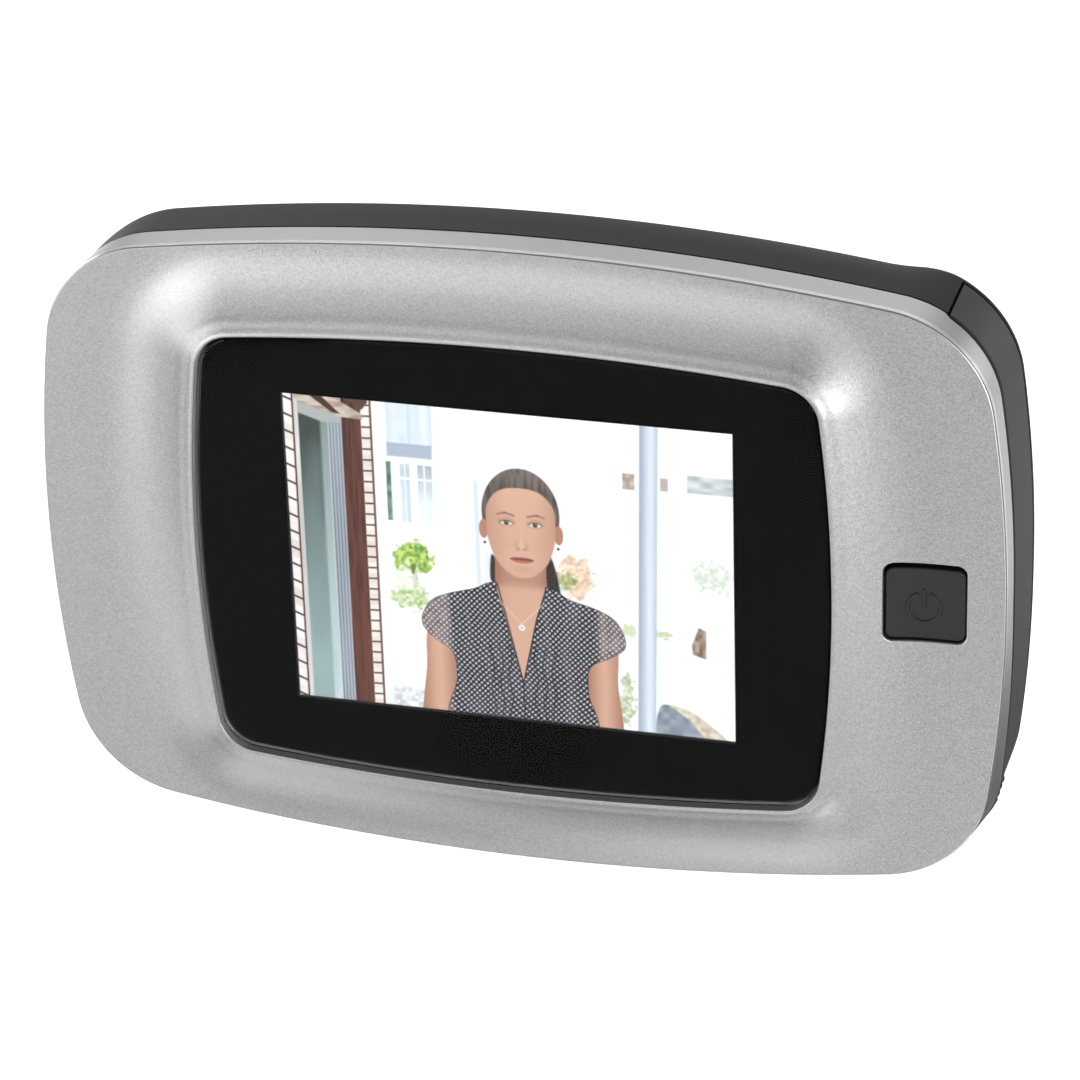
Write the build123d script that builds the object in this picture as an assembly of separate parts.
from build123d import *
import math
import os

os.makedirs("parts", exist_ok=True)

# Digital door viewer: monitor unit on a hook plate, threaded clamp through the door, outdoor camera head.
# Frame: X right seen from the room, Z up, +Y into the door. Origin: viewer axis on the door's inner face.
# "d" below is depth behind the monitor's front crease plane, so y = CREASE_Y + d.

# ---------------------------------------------------------------- driving dimensions, mm
SCREEN_W, SCREEN_H = 57.6, 43.2            # active area, 4:3
SCREEN_CX, SCREEN_CZ = -0.25, 0.15
OUT = (62.4, 42.85, 320.5, 183.7, 15.2)    # outline: half width, half height, top arc, side arc, corner arc
WIN = (41.1, 31.15, 349.7, 199.8, 4.9)     # display window, same meaning
HOUSING_D = 17.4                           # crease plane to the rear face
DOOR_GAP = 0.6                             # rear face to the door
CREASE_Y = -(HOUSING_D + DOOR_GAP)
COVER_D = 6.1                              # depth of the silver side wall
WALL = 1.5
WINDOW_FRONT = -2.75                       # d of the window's outer face
WINDOW_T = 1.2
TAPE_T = 0.3
LIP_FRONT = -3.3                           # d of the bead round the window
BTN_X, BTN_Z = 52.35, 0.5                  # button opening centre
BTN_W, BTN_H, BTN_R = 10.2, 10.7, 1.2
BTN_GAP = 0.25
BTN_SINK = 0.35                            # face below the cover's surface
BTN_TRAVEL = 0.4
SEAM_X = 53.4                              # where the battery cover begins
BAY_D0, BAY_D1 = 5.6, 16.3                 # battery cover opening, front and rear edge
CELL_R, CELL_L, NUB_R, NUB_L = 5.25, 44.5, 1.9, 0.9
CELL_X = (31.85, 42.55, 53.25)
CELL_D = 10.9
PCB_D, PCB_T = 4.3, 1.0
FRAME_D, FRAME_T = 1.9, 0.8
RECESS = (-25.0, 25.0, -27.5, 22.5)        # mounting recess in the back: x0, x1, z0, z1
RECESS_FLOOR = 11.0                        # d of the recess floor
PLATE_W, PLATE_H, PLATE_T = 46.0, 42.0, 1.2
GROOVE_D = 6.35                            # rear side of the groove between silver wall and battery cover
RIB_D0, RIB_PITCH, RIB_H = 7.4, 1.75, 0.4  # grip ribs round the lower corner: first depth, pitch, height
HOOK_X, HOOK_Z = 19.5, (10.0, -16.0)
HOOK_W, HOOK_UP = 5.0, 4.0
LIFT = 5.5                                 # lift needed to unhook
FADE_X0, FADE_X1 = 44.5, 49.0               # the rear rounding fades out between these
DOOR_T = 40.0                              # door thickness as stored
SLEEVE_R, SLEEVE_BORE, SLEEVE_END = 6.8, 5.8, 31.0
BARREL_R, BARREL_BORE, BARREL_IN = 5.75, 4.5, 2.0
HEAD_R = 13.0


def y_of(d):
    return CREASE_Y + d


# ---------------------------------------------------------------- outlines
def bulged(a, b, rt, rs, rc, y):
    """A closed wire of four shallow arcs and four corner arcs, all tangent."""
    c1 = (0.0, b - rt)
    c2 = (a - rs, 0.0)
    r1, r2 = rt - rc, rs - rc
    dx, dz = c2[0] - c1[0], c2[1] - c1[1]
    gap = math.hypot(dx, dz)
    k = (r1 * r1 - r2 * r2 + gap * gap) / (2 * gap)
    h = math.sqrt(r1 * r1 - k * k)
    mx, mz = c1[0] + k * dx / gap, c1[1] + k * dz / gap
    cand = [(mx + s * h * dz / gap, mz - s * h * dx / gap) for s in (1, -1)]
    px, pz = max(cand, key=lambda q: q[0] + q[1])
    t1 = (c1[0] + (px - c1[0]) * rt / r1, c1[1] + (pz - c1[1]) * rt / r1)
    t2 = (c2[0] + (px - c2[0]) * rs / r2, c2[1] + (pz - c2[1]) * rs / r2)
    ux, uz = (t1[0] + t2[0]) / 2 - px, (t1[1] + t2[1]) / 2 - pz
    un = math.hypot(ux, uz)
    m = (px + rc * ux / un, pz + rc * uz / un)

    def arc(p, q, r):
        return Edge.make_three_point_arc((p[0], y, p[1]), (q[0], y, q[1]), (r[0], y, r[1]))

    def f(p, sx, sz):
        return (p[0] * sx, p[1] * sz)

    edges = [
        arc(f(t1, -1, 1), (0, b), f(t1, 1, 1)),
        arc(f(t1, 1, 1), f(m, 1, 1), f(t2, 1, 1)),
        arc(f(t2, 1, 1), (a, 0), f(t2, 1, -1)),
        arc(f(t2, 1, -1), f(m, 1, -1), f(t1, 1, -1)),
        arc(f(t1, 1, -1), (0, -b), f(t1, -1, -1)),
        arc(f(t1, -1, -1), f(m, -1, -1), f(t2, -1, -1)),
        arc(f(t2, -1, -1), (-a, 0), f(t2, -1, 1)),
        arc(f(t2, -1, 1), f(m, -1, 1), f(t1, -1, 1)),
    ]
    return Wire(edges)


def corner_centre():
    """Centre of the outline's upper right corner arc."""
    a, b, rt, rs, rc = OUT
    c1, c2, r1, r2 = (0.0, b - rt), (a - rs, 0.0), rt - rc, rs - rc
    dx, dz = c2[0] - c1[0], c2[1] - c1[1]
    gap = math.hypot(dx, dz)
    k = (r1 * r1 - r2 * r2 + gap * gap) / (2 * gap)
    h = math.sqrt(r1 * r1 - k * k)
    cand = [(c1[0] + k * dx / gap + s * h * dz / gap, c1[1] + k * dz / gap - s * h * dx / gap) for s in (1, -1)]
    return max(cand, key=lambda q: q[0] + q[1])


def case_line(oa, ob, d, rk=0.0):
    """The outer outline moved in by oa at the sides and ob at top and bottom, its corner radius smaller by rk."""
    a, b, rt, rs, rc = OUT
    return bulged(a - oa, b - ob, rt - ob, rs - oa, rc - max(oa, ob) - rk, y_of(d))


def win_line(e, d):
    """The window's outline moved out by e."""
    a, b, rt, rs, rc = WIN
    return bulged(a + e, b + e, rt + e, rs + e, rc + e, y_of(d))


def loft_up(wires):
    return Solid.make_loft(wires, ruled=True)


def prism(wire, d0, d1):
    """A straight body on an outline drawn at d0."""
    return Solid.extrude(Face(wire), Vector(0, d1 - d0, 0))


def block(x0, x1, d0, d1, z0, z1):
    return Pos((x0 + x1) / 2, y_of((d0 + d1) / 2), (z0 + z1) / 2) * Box(x1 - x0, d1 - d0, z1 - z0)


def blocky(x0, x1, y0, y1, z0, z1):
    return Pos((x0 + x1) / 2, (y0 + y1) / 2, (z0 + z1) / 2) * Box(x1 - x0, y1 - y0, z1 - z0)


def rod(x, z, d0, d1, r):
    return Pos(x, y_of((d0 + d1) / 2), z) * Rot(90, 0, 0) * Cylinder(r, abs(d1 - d0))


def turned(points):
    """A body of revolution about the viewer axis from (radius, y) points."""
    prof = Face(Wire.make_polygon([(r, y, 0) for r, y in points], close=True))
    return revolve(prof, Axis((0, 0, 0), (0, 1, 0)), 360)


def ribbon(points, t, w0, w1, across="z"):
    """A strip of even thickness along a polyline of (u, v) points, w0..w1 wide."""
    n = len(points)
    left, right = [], []
    for i, (px, py) in enumerate(points):
        dirs = []
        if i > 0:
            dirs.append((px - points[i - 1][0], py - points[i - 1][1]))
        if i < n - 1:
            dirs.append((points[i + 1][0] - px, points[i + 1][1] - py))
        dirs = [(a / math.hypot(a, b), b / math.hypot(a, b)) for a, b in dirs]
        sx, sy = sum(q[0] for q in dirs), sum(q[1] for q in dirs)
        s = math.hypot(sx, sy)
        sx, sy = sx / s, sy / s
        m = t / 2 / max(0.3, dirs[0][0] * sx + dirs[0][1] * sy)
        left.append((px - sy * m, py + sx * m))
        right.append((px + sy * m, py - sx * m))
    loop = left + right[::-1]
    if across == "z":      # points are (x, y), the strip is wide in z
        face = Face(Wire.make_polygon([(p[0], p[1], w0) for p in loop], close=True))
        return Solid.extrude(face, Vector(0, 0, w1 - w0))
    face = Face(Wire.make_polygon([(p[0], w0, p[1]) for p in loop], close=True))
    return Solid.extrude(face, Vector(0, w1 - w0, 0))   # points are (x, z), wide in y


def screw(x, z, head_d, head_h, head_r, shank_r, tip_d):
    """A pan head screw along Y, head at the larger depth, with a cross recess."""
    s = rod(x, z, head_d, head_d + head_h, head_r) + rod(x, z, tip_d, head_d, shank_r)
    s -= block(x - head_r * 0.6, x + head_r * 0.6, head_d + head_h * 0.45, head_d + head_h + 1, z - 0.25, z + 0.25)
    s -= block(x - 0.25, x + 0.25, head_d + head_h * 0.45, head_d + head_h + 1, z - head_r * 0.6, z + head_r * 0.6)
    return s


def solid_of(shape):
    s = shape.solids()
    return s[0] if len(s) == 1 else Compound(children=list(s))


def save(name, shape):
    export_step(solid_of(shape), f"parts/{name}.step")


# ---------------------------------------------------------------- front cover: flat brim, then a flank that swells up to the window
SKIN = [  # (distance outside the window's outline, d)
    (10.0, -0.34), (8.0, -0.69), (6.0, -1.22), (4.0, -1.91), (2.5, -2.51), (1.3, -2.98), (0.95, -3.18), (0.7, LIP_FRONT), (0.25, LIP_FRONT),
]


def cover_outer(shift=0.0):
    wires = [case_line(0.1, 0.5, COVER_D + shift), case_line(0, 0, 0.12 + shift), case_line(0.25, 0.25, -0.12 + shift)]
    wires += [win_line(e, d + shift) for e, d in SKIN]
    return loft_up(wires)


cover = cover_outer()
inner = loft_up([
    case_line(0.1 + WALL, 0.5 + WALL, COVER_D + 0.1), case_line(WALL, WALL, 1.45), win_line(9.0, 1.2),
    win_line(7.2, 0.85), win_line(5.2, 0.3), win_line(3.4, -0.2),
])
cover -= inner
cover -= prism(win_line(0.12, LIP_FRONT - 1), LIP_FRONT - 1, WINDOW_FRONT + WINDOW_T + TAPE_T)
cover -= prism(win_line(-1.8, LIP_FRONT - 1), LIP_FRONT - 1, 1.0)
# notch in the side wall's rear edge along the battery cover
cover -= block(SEAM_X - 0.1, 70, BAY_D0 - 0.15, COVER_D + 1, -60, 60) & block(SEAM_X - 0.1, 70, 0, 10, -36.6, 36.6)
# button opening
btn_hole = Pos(BTN_X, y_of(0), BTN_Z) * Rot(90, 0, 0) * extrude(RectangleRounded(BTN_W, BTN_H, BTN_R), 4, both=True)
cover -= btn_hole
# bosses for the housing screws, the inner frame, the battery tray and the button board
HOUSING_BOSS = [(47, 31), (-47, 31), (47, -31), (-47, -31)]
FRAME_BOSS = [(42, 26.5), (-42, 26.5), (42, -26.5), (-42, -26.5)]
TRAY_BOSS = [(36, 31), (36, -31)]
for x, z in HOUSING_BOSS:
    cover += rod(x, z, 0.6, 9.0, 3.0)
    cover -= rod(x, z, 3.0, 9.1, 1.05)
for x, z in FRAME_BOSS:
    cover += rod(x, z, -0.3, FRAME_D, 2.1)
    cover -= rod(x, z, 0.2, FRAME_D + 0.1, 0.8)
for x, z in TRAY_BOSS:
    cover += rod(x, z, -0.3, 4.5, 2.1)
    cover -= rod(x, z, 0.8, 4.6, 0.8)
for z in (-9.0, 10.0):
    cover += rod(BTN_X, z, 1.2, 3.5, 1.7)
    cover += rod(BTN_X, z, 3.4, 4.35, 0.8)
save("front_cover", cover)

# ---------------------------------------------------------------- display stack
save("display_window", prism(win_line(0, WINDOW_FRONT), WINDOW_FRONT, WINDOW_FRONT + WINDOW_T))
mask_d = WINDOW_FRONT + WINDOW_T
mask = prism(win_line(-0.4, mask_d), mask_d, mask_d + 0.1)
mask -= block(SCREEN_CX - SCREEN_W / 2 - 0.15, SCREEN_CX + SCREEN_W / 2 + 0.15, mask_d - 1, mask_d + 1, SCREEN_CZ - SCREEN_H / 2 - 0.15, SCREEN_CZ + SCREEN_H / 2 + 0.15)
save("window_mask", mask)
tape = prism(win_line(-0.15, mask_d + 0.1), mask_d + 0.1, mask_d + TAPE_T) - prism(win_line(-1.7, mask_d), mask_d, mask_d + 2)
save("window_tape", tape)

LCD = (-37.15, 30.85, SCREEN_CZ - 25.0, SCREEN_CZ + 25.0)
LCD_D = -1.05
gasket = block(SCREEN_CX - 31.0, SCREEN_CX + 31.0, mask_d + 0.1, LCD_D, SCREEN_CZ - 24.0, SCREEN_CZ + 24.0)
gasket -= block(SCREEN_CX - 29.3, SCREEN_CX + 29.3, mask_d - 1, LCD_D + 1, SCREEN_CZ - 22.1, SCREEN_CZ + 22.1)
save("display_gasket", gasket)
save("lcd_panel", block(LCD[0], LCD[1], LCD_D, LCD_D + 1.5, LCD[2], LCD[3]))
back = block(LCD[0] + 4.5, LCD[1], LCD_D + 1.5, LCD_D + 2.85, LCD[2], LCD[3])
save("lcd_backlight", back)
save("lcd_flex", ribbon([(LCD[0] + 3.0, y_of(LCD_D + 1.6)), (-38.9, y_of(LCD_D + 1.6)), (-38.9, y_of(3.55)), (-35.9, y_of(3.55))], 0.15, -9.5, 9.5))

frame = block(-44.5, 44.5, FRAME_D, FRAME_D + FRAME_T, -28.5, 28.5)
frame -= block(-40.4, -37.4, FRAME_D - 1, FRAME_D + 2, -12, 12)
frame -= block(-20, 14, FRAME_D - 1, FRAME_D + 2, -14, 14)
frame = fillet(frame.edges().filter_by(Axis.Y).group_by(lambda e: round(abs(e.center().X) + abs(e.center().Z), 1))[-1], 2.0)
BOARD_POST = [(-40, 20.5), (-40, -20.5), (20, 20.5), (20, -20.5)]
for x, z in BOARD_POST:
    frame += rod(x, z, FRAME_D + FRAME_T - 0.1, PCB_D, 2.0)
    frame -= rod(x, z, FRAME_D + FRAME_T, PCB_D + 0.1, 0.8)
for x, z in FRAME_BOSS:
    frame -= rod(x, z, FRAME_D - 1, FRAME_D + 2, 1.15)
save("inner_frame", frame)
save("frame_screws", Compound(children=[solid_of(screw(x, z, FRAME_D + FRAME_T, 1.1, 1.8, 0.75, 0.4)) for x, z in FRAME_BOSS]))

# ---------------------------------------------------------------- main board and what it carries
REAR = PCB_D + PCB_T
board = block(-43.5, 24.0, PCB_D, REAR, -24.4, 24.4)
for x, z in BOARD_POST:
    board -= rod(x, z, PCB_D - 1, REAR + 1, 1.15)
save("main_board", board)
save("board_screws", Compound(children=[solid_of(screw(x, z, REAR, 1.1, 1.8, 0.75, 3.2)) for x, z in BOARD_POST]))
save("processor_chip", block(-34, -22, REAR, REAR + 1.2, 2, 14))
save("memory_chip", block(-33, -23, REAR, REAR + 1.0, -13, -5))
save("power_inductor", block(4, 10, REAR, REAR + 2.8, 13, 19))
save("capacitors", Compound(children=[solid_of(rod(x, 18.3, REAR, REAR + 5.0, 2.4)) for x in (-34.6, -29.2)]))
save("lcd_connector", block(-35.9, -31.9, PCB_D - 1.3, PCB_D, -11, 11))
SOCKET_X, SOCKET_Z = 17.0, 0.0
socket = block(SOCKET_X - 4, SOCKET_X + 4, REAR, REAR + 2.0, SOCKET_Z - 2.2, SOCKET_Z + 2.2)
socket -= block(SOCKET_X - 3.2, SOCKET_X + 3.2, REAR + 0.6, REAR + 3, SOCKET_Z - 1.2, SOCKET_Z + 1.2)
save("camera_socket", socket)
plug = block(SOCKET_X - 3.1, SOCKET_X + 3.1, REAR + 0.7, REAR + 2.1, SOCKET_Z - 1.1, SOCKET_Z + 1.1)
plug += block(SOCKET_X - 3.8, SOCKET_X + 3.8, REAR + 2.1, REAR + 4.0, SOCKET_Z - 1.9, SOCKET_Z + 1.9)
save("camera_plug", plug)

# ---------------------------------------------------------------- button, its board and switch
SW_D = 2.0                                  # front face of the switch body
bb = block(BTN_X - 4.6, BTN_X + 4.6, 3.5, 4.3, -12.0, 13.0)
for z in (-9.0, 10.0):
    bb -= rod(BTN_X, z, 3, 5, 0.95)
save("button_board", bb)
sw = block(BTN_X - 3, BTN_X + 3, SW_D, 3.5, BTN_Z - 3, BTN_Z + 3) - rod(BTN_X, BTN_Z, SW_D - 1, 3.35, 1.6)
save("tact_switch", sw)
save("switch_plunger", rod(BTN_X, BTN_Z, SW_D - 0.45, 2.9, 1.55))
save("button_flex", ribbon([(BTN_X - 3.0, y_of(4.37)), (38.0, y_of(4.37)), (34.0, y_of(3.9)), (27.0, y_of(3.9)), (22.5, y_of(4.23))], 0.12, 3.5, 7.0))

cap_line = Pos(BTN_X, y_of(0), BTN_Z) * Rot(90, 0, 0)
cap_block = cap_line * extrude(RectangleRounded(BTN_W - 2 * BTN_GAP, BTN_H - 2 * BTN_GAP, BTN_R - BTN_GAP), 4, both=True)
cap_block &= block(40, 60, -4, 2.3, -10, 10)
cap = cap_block & cover_outer(BTN_SINK)
symbol = rod(BTN_X, BTN_Z - 0.1, -4, 1.0, 2.25) - rod(BTN_X, BTN_Z - 0.1, -5, 2.0, 1.75)
gap_w = Pos(BTN_X, y_of(-1.5), BTN_Z - 0.1) * Rot(90, 0, 0) * extrude(make_face(Polyline((0, 0), (2.3, 3.2), (-2.3, 3.2), close=True)), 5, both=True)
symbol -= gap_w
symbol += block(BTN_X - 0.25, BTN_X + 0.25, -4, 1.0, BTN_Z + 0.3, BTN_Z + 2.6)
cap += (symbol & cover_outer(BTN_SINK - 0.12))
hollow = cap_line * extrude(RectangleRounded(7.6, 8.0, 0.8), 4, both=True) & block(40, 60, 1.0, 5, -10, 10)
cap -= hollow
flange = cap_line * extrude(RectangleRounded(BTN_W + 1.6, BTN_H + 1.6, 1.4), 4, both=True) & block(40, 60, 1.75, 2.3, -10, 10)
cap += flange - (cap_line * extrude(RectangleRounded(7.6, 8.0, 0.8), 4, both=True))
cap += rod(BTN_X, BTN_Z, 0.9, SW_D - 0.5, 1.4)
save("power_button", cap)

# ---------------------------------------------------------------- battery tray, cells and contacts
tray = block(26.4, 58.4, 4.5, 5.5, -25.8, 25.8)
tray += block(26.4, 58.4, 5.4, 15.6, 24.6, 25.8) + block(26.4, 58.4, 5.4, 15.6, -25.8, -24.6)
for x, z in TRAY_BOSS:
    s = 1 if z > 0 else -1
    tray += block(x - 3, x + 3, 4.5, 5.5, min(s * 25, s * 33.4), max(s * 25, s * 33.4))
    tray -= rod(x, z, 4, 6, 1.15)
tray -= block(56.6, 60, 4, 20, -30, -18.0) + block(56.6, 60, 4, 20, 18.0, 30)
save("battery_tray", tray)
save("tray_screws", Compound(children=[solid_of(screw(x, z, 5.5, 1.1, 1.8, 0.75, 1.2)) for x, z in TRAY_BOSS]))

cells = []
for i, x in enumerate(CELL_X):
    s = 1 if i != 1 else -1
    body = Pos(x, y_of(CELL_D), -s * NUB_L / 2) * Cylinder(CELL_R, CELL_L - NUB_L)
    nub = Pos(x, y_of(CELL_D), s * (CELL_L / 2 - NUB_L / 2 - 0.05)) * Cylinder(NUB_R, NUB_L + 0.1)
    cells.append(solid_of(body + nub))
save("battery_cells", Compound(children=cells))


def leaf(x, s):       # springy V on a negative end
    return [(x - 3.6, s * 24.4), (x, s * 22.45), (x + 3.6, s * 24.4)]


def bump(x, s):       # raised seat on a positive end
    return [(x - 3.2, s * 24.4), (x - 1.4, s * 22.42), (x + 1.4, s * 22.42), (x + 3.2, s * 24.4)]


def strip(points):
    return ribbon(points, 0.25, y_of(CELL_D - 2.5), y_of(CELL_D + 2.5), across="y")


x1, x2, x3 = CELL_X
contacts = [
    strip([(x1 - 5.2, 24.4)] + bump(x1, 1) + leaf(x2, 1) + [(x2 + 4.8, 24.4)]),
    strip([(x3 - 5.0, 24.4)] + bump(x3, 1) + [(x3 + 3.3, 24.4)]),
    strip([(x1 - 5.2, -24.4)] + leaf(x1, -1) + [(x1 + 4.8, -24.4)]),
    strip([(x2 - 5.0, -24.4)] + bump(x2, -1) + leaf(x3, -1)),
]
save("battery_contacts", Compound(children=[solid_of(c) for c in contacts]))
leads = []
for s in (1, -1):
    z0, z1 = sorted((s * 24.06, s * 24.26))
    leads.append(solid_of(block(21.0, 23.0, REAR, 9.4, z0, z1) + block(21.0, 28.2, 8.5, 9.4, z0, z1)))
save("battery_leads", Compound(children=leads))

# ---------------------------------------------------------------- rear housing
ROUND = [(9.9, 0.0), (12.2, 0.12), (14.0, 0.33), (15.4, 0.6), (16.4, 0.9), (17.0, 1.35), (HOUSING_D, 2.1)]
FLARE = (-0.5, 0.9, -1.0)                  # outline of the right end at its rear edge


def rear_lines(oa, ob, top):
    return [case_line(oa + e, ob + e, min(d, top)) for d, e in ROUND if d <= top]


shell = loft_up([case_line(0.2, 0.6, COVER_D + 0.35)] + rear_lines(0.25, 0.75, 99))
end = loft_up([case_line(0.2, 0.6, COVER_D + 0.35), case_line(FLARE[0], FLARE[1], 16.9, FLARE[2]), case_line(FLARE[0] + 0.5, FLARE[1] + 0.5, HOUSING_D, FLARE[2])])
shell += end & block(FADE_X1, 70, 0, 20, -60, 60)


def top_at(x, off):
    """Height of the outline moved in by off, at x."""
    a, b, rt, rs, rc = OUT
    r = rt - off
    return b - rt + math.sqrt(r * r - x * x)


def rear_profile(x, curve):
    pts = [(x, y_of(d), top_at(x, e)) for d, e in curve]
    pts += [(x, y_of(HOUSING_D), 33.0), (x, y_of(curve[0][0]), 33.0)]
    return pts


FULL = [(COVER_D + 0.35, 0.63), (9.9, 0.73), (12.2, 0.8), (14.0, 0.85), (15.4, 0.89), (16.4, 0.92), (16.9, 0.93), (HOUSING_D, 1.43)]
SOFT = [(COVER_D + 0.35, 0.62)] + [(d, 0.77 + e) for d, e in ROUND]
near, far = rear_profile(FADE_X0, SOFT), rear_profile(FADE_X1 + 0.2, FULL)
wedge = Solid.make_loft([Wire.make_polygon([Vector(*p) for p in near], close=True), Wire.make_polygon([Vector(*p) for p in far], close=True)], ruled=True)
shell += wedge
shell += mirror(wedge, Plane.XY)
tongue = prism(case_line(1.8, 2.2, 4.5), 4.5, COVER_D + 0.4)
shell += tongue
hollow = loft_up([case_line(3.0, 3.4, 4.4), case_line(3.0, 3.4, COVER_D + 0.3), case_line(1.75, 2.3, COVER_D + 1.6),
                  case_line(1.8, 2.4, 9.9), case_line(2.1, 2.7, 12.2), case_line(2.6, 3.3, 14.0), case_line(3.6, 4.3, 15.4), case_line(4.4, 5.1, 16.0)])
rx0, rx1, rz0, rz1 = RECESS
hollow -= block(rx0 - 1.2, rx1 + 1.2, RECESS_FLOOR - 1.4, 20, rz0 - 1.2, rz1 + 1.2)
shell -= hollow
shell -= block(rx0, rx1, RECESS_FLOOR, 20, rz0, rz1)
# battery opening on the right, from the seam round to its mirror
shell -= block(SEAM_X, 70, BAY_D0, BAY_D1, -50, 50)
shell -= block(26.3, 60.5, 5.6, CELL_D + CELL_R + 0.12, -25.9, 25.9)
# cable opening in the recess floor
shell -= block(SOCKET_X - 4.6, SOCKET_X + 4.6, 8, 12, SOCKET_Z - 3.0, SOCKET_Z + 3.0)
# catches that hang on the plate's hooks
for z in HOOK_Z:
    for s in (1, -1):
        x0, x1_ = sorted((s * (HOOK_X - 3.2), s * (rx1 + 0.5)))
        shell += block(x0, x1_, 15.1, 16.4, z + 0.2, z + 3.6)
# screw tubes
for x, z in HOUSING_BOSS:
    shell += rod(x, z, 9.15, 16.5, 3.6)
    shell -= rod(x, z, 9, 20, 1.45)
    shell -= rod(x, z, 12.6, 20, 2.75)
save("rear_housing", shell)
save("housing_screws", Compound(children=[solid_of(screw(x, z, 12.6, 1.6, 2.3, 1.0, 3.4)) for x, z in HOUSING_BOSS]))

# ---------------------------------------------------------------- battery cover: a band round the right end
c0, c1 = BAY_D0 + 0.12, BAY_D1 - 0.12
band = loft_up([case_line(0.15, 0.65, c0), case_line(FLARE[0], FLARE[1], c1, FLARE[2])]) - loft_up([case_line(1.55, 2.05, c0 - 0.1), case_line(1.5, 2.25, c1 + 0.1)])
# a step at its front edge leaves a groove along the silver wall
band -= prism(case_line(-2, -2, c0 - 0.2), c0 - 0.2, GROOVE_D) - prism(case_line(0.85, 1.35, c0 - 0.3), c0 - 0.3, GROOVE_D + 0.1)
band &= block(SEAM_X + 0.15, 70, 0, 20, -50, 50)
# tongues that run under the housing's wall
tongue_ring = prism(case_line(3.1, 3.4, 9.0), 9.0, 13.0) - prism(case_line(4.3, 4.6, 9.0), 9.0, 13.0)
bridge_ring = prism(case_line(1.2, 1.5, 9.0), 9.0, 13.0) - prism(case_line(4.3, 4.6, 9.0), 9.0, 13.0)
for z0, z1 in ((31.0, 50.0), (-50.0, -31.0)):
    band += tongue_ring & block(51.3, 57.0, 8, 14, z0, z1)
    band += bridge_ring & block(54.2, 57.0, 8, 14, z0, z1)
# four grip ribs round the lower corner, one behind the other
for i in range(4):
    d = RIB_D0 + RIB_PITCH * i
    t = (d - c0) / (c1 - c0)
    oa, ob, rk = 0.15 + (FLARE[0] - 0.15) * t, 0.65 + (FLARE[1] - 0.65) * t, FLARE[2] * t
    rib = prism(case_line(oa - RIB_H, ob - RIB_H, d - 0.4, rk), d - 0.4, d + 0.4) - prism(case_line(oa + 0.6, ob + 0.6, d - 1, rk), d - 1, d + 1)
    band += rib & block(54.5, 70, 0, 20, -45, -30.2)
save("battery_cover", band)
pad = block(58.75, 62, CELL_D - 3, CELL_D + 3, -12, 12) & prism(case_line(1.57, 2.08, CELL_D - 3), CELL_D - 3, CELL_D + 3)
save("battery_pad", pad)

# ---------------------------------------------------------------- mounting plate on the door
plate = blocky(-PLATE_W / 2, PLATE_W / 2, -PLATE_T, 0, -PLATE_H / 2, PLATE_H / 2)
plate = fillet(plate.edges().filter_by(Axis.Y), 3.0)
plate -= Rot(90, 0, 0) * Cylinder(7.2, 10)
for x in (-14.5, 14.5):
    for z in (0.0,):
        plate -= Pos(x, 0, z) * Rot(90, 0, 0) * Cylinder(1.7, 10)
for z in HOOK_Z:
    for s in (1, -1):
        x = s * HOOK_X
        plate += blocky(x - HOOK_W / 2, x + HOOK_W / 2, -4.4, -PLATE_T + 0.1, z - 1.2, z)
        plate += blocky(x - HOOK_W / 2, x + HOOK_W / 2, -4.4, -3.2, z - 1.2, z + HOOK_UP)
save("mounting_plate", plate)

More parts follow.
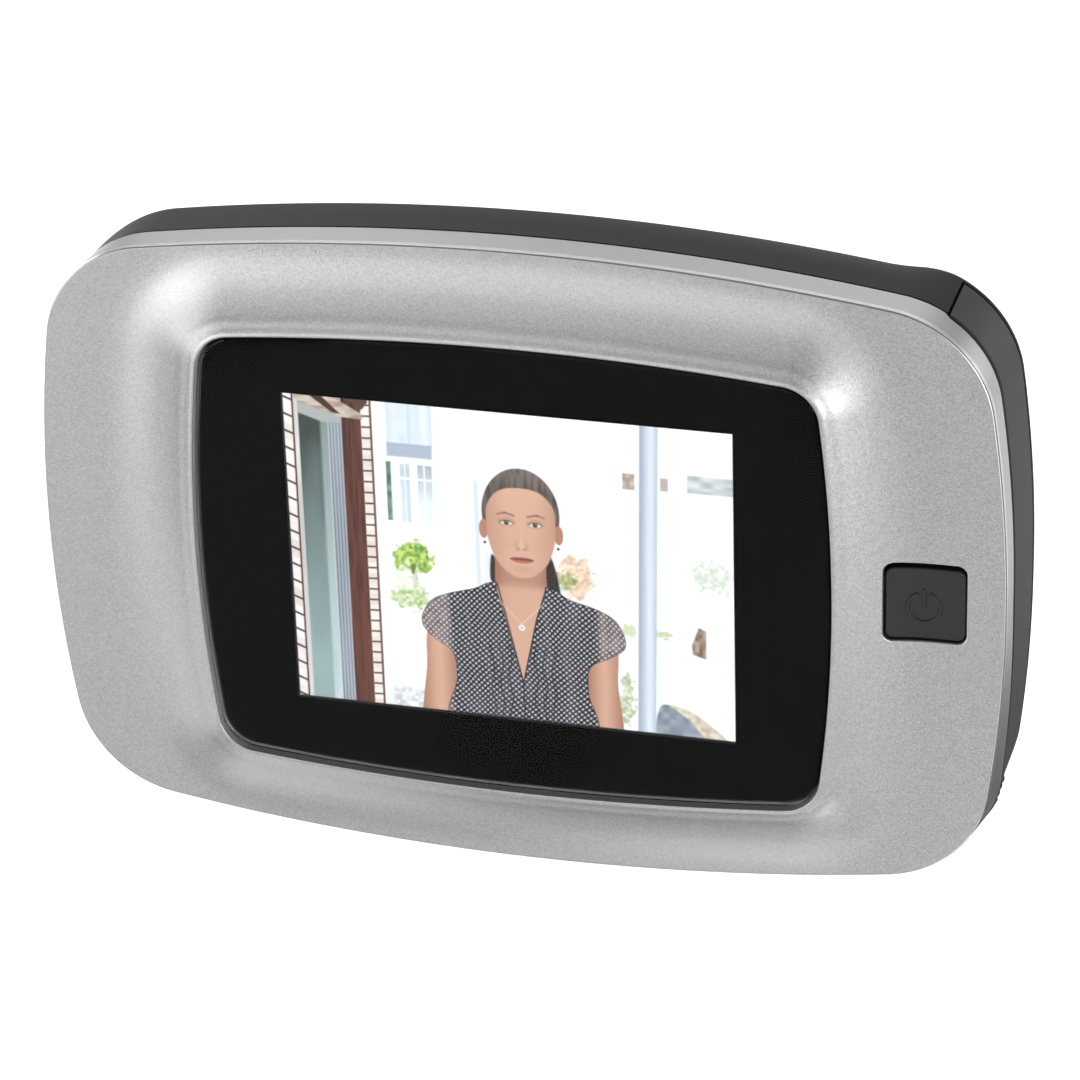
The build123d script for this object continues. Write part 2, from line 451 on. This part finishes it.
# ---------------------------------------------------------------- clamp through the door, camera head outside
sleeve = turned([(SLEEVE_BORE, -3.2), (10.6, -3.2), (11.0, -2.8), (11.0, -PLATE_T - 0.05), (SLEEVE_R, -PLATE_T - 0.05), (SLEEVE_R, SLEEVE_END), (SLEEVE_BORE, SLEEVE_END)])
sleeve -= blocky(-12, 12, -4, -2.2, -1.25, 1.25)
save("clamp_sleeve", sleeve)
F = DOOR_T + 1.0
barrel = turned([(BARREL_BORE, BARREL_IN), (BARREL_R, BARREL_IN), (BARREL_R, F), (12.6, F), (HEAD_R, F + 0.4), (HEAD_R, F + 2.6), (12.1, F + 5.2),
                 (9.2, F + 6.6), (9.2, F + 4.5), (7.2, F + 4.5), (7.2, F + 0.8), (BARREL_BORE, F + 0.8)])
save("camera_barrel", barrel)
save("door_gasket", turned([(7.2, DOOR_T), (12.4, DOOR_T), (12.4, F - 0.02), (7.2, F - 0.02)]))
save("lens_bezel", turned([(7.25, F + 4.55), (9.15, F + 4.55), (9.15, F + 7.0), (8.7, F + 7.4), (7.7, F + 7.3), (5.6, F + 5.95), (5.6, F + 5.55), (7.25, F + 5.55)]))
dome = [(0.0, F + 5.5), (5.5, F + 5.5), (5.5, F + 5.9)]
steps = 8
for i in range(1, steps + 1):
    r = 5.2 * (1 - i / steps)
    dome.append((r, F + 5.95 + math.sqrt(6.8 ** 2 - r * r) - math.sqrt(6.8 ** 2 - 5.2 ** 2)))
save("lens_front", turned([(p[0], p[1]) for p in dome[:3]] + [(5.2, F + 5.95)] + dome[3:]))
save("lens_cell", turned([(3.8, F + 1.86), (5.0, F + 1.86), (5.0, F + 5.45), (3.6, F + 5.45), (2.5, F + 4.2), (2.5, F + 2.9), (3.8, F + 2.9)]))
save("lens_rear", turned([(0, F + 3.1), (2.4, F + 3.1), (2.4, F + 3.6), (1.6, F + 4.0), (0.8, F + 4.2), (0, F + 4.25)]))
save("sensor_board", turned([(0, F + 0.85), (7.0, F + 0.85), (7.0, F + 1.85), (0, F + 1.85)]))
save("image_sensor", blocky(-2.6, 2.6, F + 1.85, F + 2.75, -2.1, 2.1))
save("camera_flex", ribbon([(0, BARREL_IN), (0, F + 0.65), (3.0, F + 0.75)], 0.18, -3.0, 3.0))
save("flex_loop", ribbon([(0, BARREL_IN - 0.02), (0, y_of(14.2)), (1.2, y_of(12.9)), (SOCKET_X - 1.2, y_of(12.9)), (SOCKET_X, y_of(11.7)), (SOCKET_X, y_of(REAR + 4.0))], 0.18, -2.6, 2.6))
